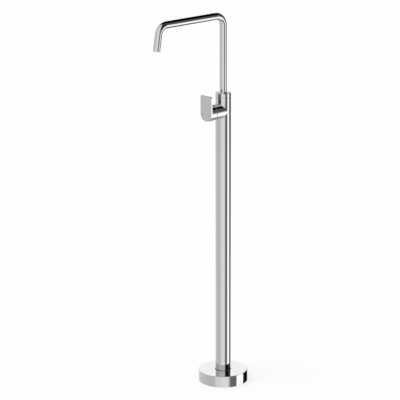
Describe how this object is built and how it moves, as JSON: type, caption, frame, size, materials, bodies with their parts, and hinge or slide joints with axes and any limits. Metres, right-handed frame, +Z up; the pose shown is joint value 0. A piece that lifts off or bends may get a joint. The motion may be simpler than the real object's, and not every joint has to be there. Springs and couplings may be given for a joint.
{
  "type": "floor standing bath filler",
  "caption": "Floor standing bath filler: round floor base, slim column, lever mixer with an upright blade handle facing the bath, and a bent tube spout that swivels above it.",
  "frame": {"origin": "on the column axis, at floor level", "axes": "+Z up the column; the valve and the spout point to -Y at rest; +X to the right of someone facing the handle"},
  "size_m": [0.1428, 0.337, 1.0986],
  "materials": {
    "chrome_trim": "polished chrome plate",
    "steel_plate": "zinc plated steel",
    "fastener_steel": "stainless steel",
    "brass_body": "machined brass",
    "seal_rubber": "black rubber",
    "hose_braid": "braided hose",
    "cartridge_plastic": "moulded plastic",
    "ceramic_disc": "lapped ceramic",
    "bush_plastic": "low friction plastic",
    "mark_enamel": "enamel dot"
  },
  "bodies": {
    "stand": {"floor_plate": "steel_plate", "column_spigot": "steel_plate", "clamp_screws": "fastener_steel", "base_cover": "chrome_trim", "base_cover_seal": "seal_rubber", "inlet_block": "brass_body", "cold_hose": "hose_braid", "hot_hose": "hose_braid", "hose_nuts": "brass_body", "hose_ferrules": "fastener_steel", "column_tube": "chrome_trim", "valve_sleeve": "chrome_trim", "swivel_collar": "chrome_trim", "mixer_body": "brass_body", "cartridge_housing": "cartridge_plastic", "cartridge_seals": "seal_rubber", "fixed_disc": "ceramic_disc", "cartridge_cover": "cartridge_plastic", "cartridge_nut": "brass_body", "dome_ring": "chrome_trim", "outlet_nipple": "brass_body", "swivel_socket": "brass_body", "stop_screw": "fastener_steel", "swivel_bush": "bush_plastic"},
    "spout": {"spout_tube": "chrome_trim", "spout_spigot": "brass_body", "spout_o_rings": "seal_rubber", "aerator_housing": "chrome_trim", "aerator_seal": "seal_rubber", "aerator_insert": "bush_plastic"},
    "cartridge_rotor": {"cartridge_carrier": "cartridge_plastic", "stem_pin": "fastener_steel"},
    "ceramic_slider": {"moving_disc": "ceramic_disc", "disc_driver": "cartridge_plastic"},
    "lever": {"handle": "chrome_trim", "cartridge_stem": "brass_body", "handle_screw": "fastener_steel", "screw_plug": "chrome_trim", "cold_mark": "mark_enamel", "hot_mark": "mark_enamel"}
  },
  "joints": [
    {"name": "spout_swivel", "type": "hinge", "parent": "stand", "child": "spout", "pos_m": [0, 0, 0.856], "axis": [0, 0, 1], "range_deg": [-60, 60]},
    {"name": "handle_turn", "type": "hinge", "parent": "stand", "child": "cartridge_rotor", "pos_m": [0, -0.0288, 0.8142], "axis": [0, -1, 0], "range_deg": [-45, 45]},
    {"name": "handle_tilt", "type": "hinge", "parent": "cartridge_rotor", "child": "lever", "pos_m": [0, -0.0288, 0.8142], "axis": [1, 0, 0], "range_deg": [0, 20]},
    {"name": "disc_slide", "type": "slide", "parent": "cartridge_rotor", "child": "ceramic_slider", "axis": [0, 0, 1], "range_m": [0, 0.00276]}
  ],
  "couplings": [
    {"joint": "disc_slide", "follows": "handle_tilt", "m_per_rad": 0.0079}
  ]
}
